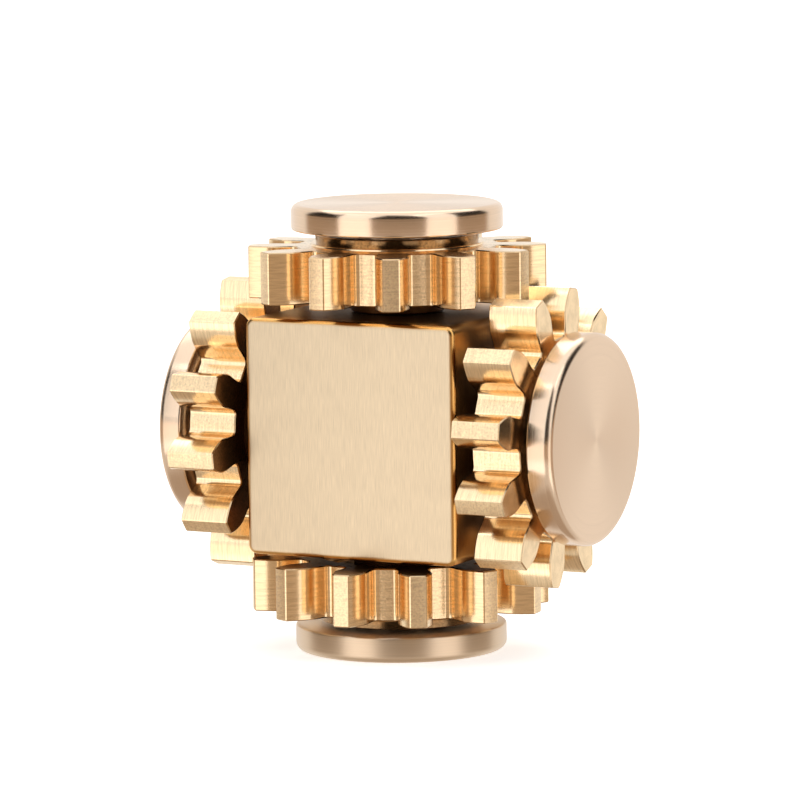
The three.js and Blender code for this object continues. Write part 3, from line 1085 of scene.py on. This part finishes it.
def build_room():
    """The room that the metal mirrors: a pale table, tan walls, a dark ceiling and a white back wall."""
    world = bpy.data.worlds.new("Studio")
    world.use_nodes = True
    tree = world.node_tree
    tree.nodes.clear()
    way = add_node(tree, "ShaderNodeTexCoord").outputs["Generated"]
    rise = add_node(tree, "ShaderNodeSeparateXYZ", inputs={"Vector": way}).outputs["Z"]
    height = add_node(tree, "ShaderNodeMath", {"operation": "MULTIPLY_ADD"}, {0: rise, 1: 0.5, 2: 0.5})
    bands = add_node(tree, "ShaderNodeValToRGB", inputs={"Fac": height.outputs["Value"]})
    elements = bands.color_ramp.elements
    while len(elements) < len(ROOM_BANDS):
        elements.new(0.5)
    for element, (position, colour) in zip(elements, ROOM_BANDS):
        element.position = position
        element.color = linear(colour)
    # The white wall is behind the block from where the camera stands, with a soft edge.
    behind = add_node(
        tree,
        "ShaderNodeVectorMath",
        {"operation": "DOT_PRODUCT"},
        {0: way, 1: -direction(CAMERA_AZIMUTH, 0)},
    ).outputs["Value"]
    back_wall = add_node(
        tree, "ShaderNodeMapRange", inputs={"Value": behind, "From Min": 0.38, "From Max": 0.5}
    ).outputs["Result"]
    mixed = add_node(
        tree,
        "ShaderNodeMix",
        COLOUR_MIX,
        {FACTOR: back_wall, COLOUR_A: bands.outputs["Color"], COLOUR_B: linear(BACK_WALL)},
    )
    room = add_node(tree, "ShaderNodeBackground", inputs={"Color": mixed.outputs[MIXED]})
    white = add_node(tree, "ShaderNodeBackground", inputs={"Color": (1, 1, 1, 1)})
    seen = add_node(tree, "ShaderNodeLightPath").outputs["Is Camera Ray"]
    whole = add_node(tree, "ShaderNodeMixShader", inputs={0: seen, 1: room.outputs[0], 2: white.outputs[0]})
    add_node(tree, "ShaderNodeOutputWorld", inputs={"Surface": whole.outputs[0]})
    bpy.context.scene.world = world


def seamless_paper():
    """White seamless paper: matte, and overlit as in a product studio."""
    material, tree = new_material("seamless_paper")
    if tree is None:
        return material
    place = add_node(tree, "ShaderNodeTexCoord").outputs["Object"]
    # Clumps of fibre about 1 mm across.
    fibre = add_node(
        tree, "ShaderNodeTexNoise", inputs={"Vector": place, "Scale": 0.9 / MM, "Detail": 2.0}
    ).outputs["Fac"]
    tint = add_node(
        tree, "ShaderNodeMix", COLOUR_MIX, {FACTOR: fibre, **shades(finishes().floor, 0.99, 1.01)}
    )
    shader = add_node(
        tree,
        "ShaderNodeBsdfPrincipled",
        inputs={
            "Base Color": tint.outputs[MIXED],
            "Roughness": 0.9,
            "Specular IOR Level": 0.0,
            "Emission Color": (1, 1, 1, 1),
            "Emission Strength": 0.6,
        },
    )
    add_node(tree, "ShaderNodeOutputMaterial", inputs={"Surface": shader.outputs["BSDF"]})
    return material


def build_stage():
    """The floor, the room and its lights, and the camera."""
    low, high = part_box("body_block")
    centre = (low + high) / 2

    mesh = bpy.data.meshes.new("floor")
    build = bmesh.new()
    bmesh.ops.create_circle(build, cap_ends=True, segments=96, radius=6.0)
    build.to_mesh(mesh)
    build.free()
    mesh.materials.append(seamless_paper())
    floor = add_object("floor", mesh)
    floor.location.z = FRAME_BOX[0].z
    # The metal mirrors the room and not the paper, and the softboxes reach below the paper's level.
    floor.visible_glossy = False
    floor.visible_shadow = False

    build_room()
    for name, settings in SOFTBOXES.items():
        softbox(name, centre, **settings)

    data = bpy.data.cameras.new("camera")
    data.lens = CAMERA_LENS
    data.clip_start, data.clip_end = 0.05, 20
    camera = add_object("camera", data)
    camera.location = centre + CAMERA_DISTANCE * direction(CAMERA_AZIMUTH, CAMERA_ELEVATION)
    aim = centre + AIM_RIGHT * direction(CAMERA_AZIMUTH + 90, 0) + Vector((0, 0, AIM_UP))
    look = (camera.location - aim).to_track_quat("Z", "Y").to_matrix()
    camera.rotation_euler = (look @ Matrix.Rotation(math.radians(CAMERA_ROLL), 3, "Z")).to_euler()
    bpy.context.scene.camera = camera
    bpy.context.scene.view_settings.view_transform = "Standard"


# ---- operators ----


class FIDGET_OT_block(bpy.types.Operator):
    """Adds the brushed block, with its four stud holes"""

    bl_idname = "fidget.block"
    bl_label = "Block"

    def execute(self, context):
        build_block()
        return {"FINISHED"}


class FIDGET_OT_gears(bpy.types.Operator):
    """Adds the four gears that mesh around the block"""

    bl_idname = "fidget.gears"
    bl_label = "Gears"

    def execute(self, context):
        build_gears()
        return {"FINISHED"}


class FIDGET_OT_bearings(bpy.types.Operator):
    """Adds the ball bearing in each gear: two rings, two shields, and the balls in their cage"""

    bl_idname = "fidget.bearings"
    bl_label = "Bearings"

    def execute(self, context):
        build_bearings()
        return {"FINISHED"}


class FIDGET_OT_caps(bpy.types.Operator):
    """Adds the four turned caps"""

    bl_idname = "fidget.caps"
    bl_label = "Caps"

    def execute(self, context):
        build_caps()
        return {"FINISHED"}


class FIDGET_OT_fasteners(bpy.types.Operator):
    """Adds the threaded studs and the spacers under the bearings"""

    bl_idname = "fidget.fasteners"
    bl_label = "Studs and Spacers"

    def execute(self, context):
        build_fasteners()
        return {"FINISHED"}


class FIDGET_OT_stage(bpy.types.Operator):
    """Adds the floor, the lights and the camera"""

    bl_idname = "fidget.stage"
    bl_label = "Stage"

    def execute(self, context):
        build_stage()
        return {"FINISHED"}


OPERATORS = (
    FIDGET_OT_block,
    FIDGET_OT_gears,
    FIDGET_OT_bearings,
    FIDGET_OT_caps,
    FIDGET_OT_fasteners,
    FIDGET_OT_stage,
)


class FIDGET_PT_pieces(bpy.types.Panel):
    """Lists what builds the cube, and the sizes and colours it is built with"""

    bl_idname = "FIDGET_PT_pieces"
    bl_label = "Fidget Cube"
    bl_space_type = "VIEW_3D"
    bl_region_type = "UI"
    bl_category = "Fidget Cube"

    def draw(self, context):
        for operator in OPERATORS:
            self.layout.operator(operator.bl_idname)
        for group in (sizes(), finishes()):
            box = self.layout.box()
            for key in group.bl_rna.properties.keys():
                if key not in ("rna_type", "name"):
                    box.prop(group, key)


CLASSES = (FidgetSizes, FidgetFinishes, *OPERATORS, FIDGET_PT_pieces)


def register():
    for entry in CLASSES:
        bpy.utils.register_class(entry)
    bpy.types.Scene.fidget_sizes = PointerProperty(type=FidgetSizes)
    bpy.types.Scene.fidget_finishes = PointerProperty(type=FidgetFinishes)


def unregister():
    del bpy.types.Scene.fidget_finishes
    del bpy.types.Scene.fidget_sizes
    for entry in reversed(CLASSES):
        bpy.utils.unregister_class(entry)


def main():
    register()
    for operator in OPERATORS:
        group, name = operator.bl_idname.split(".")
        getattr(getattr(bpy.ops, group), name)()


if __name__ == "__main__":
    main()
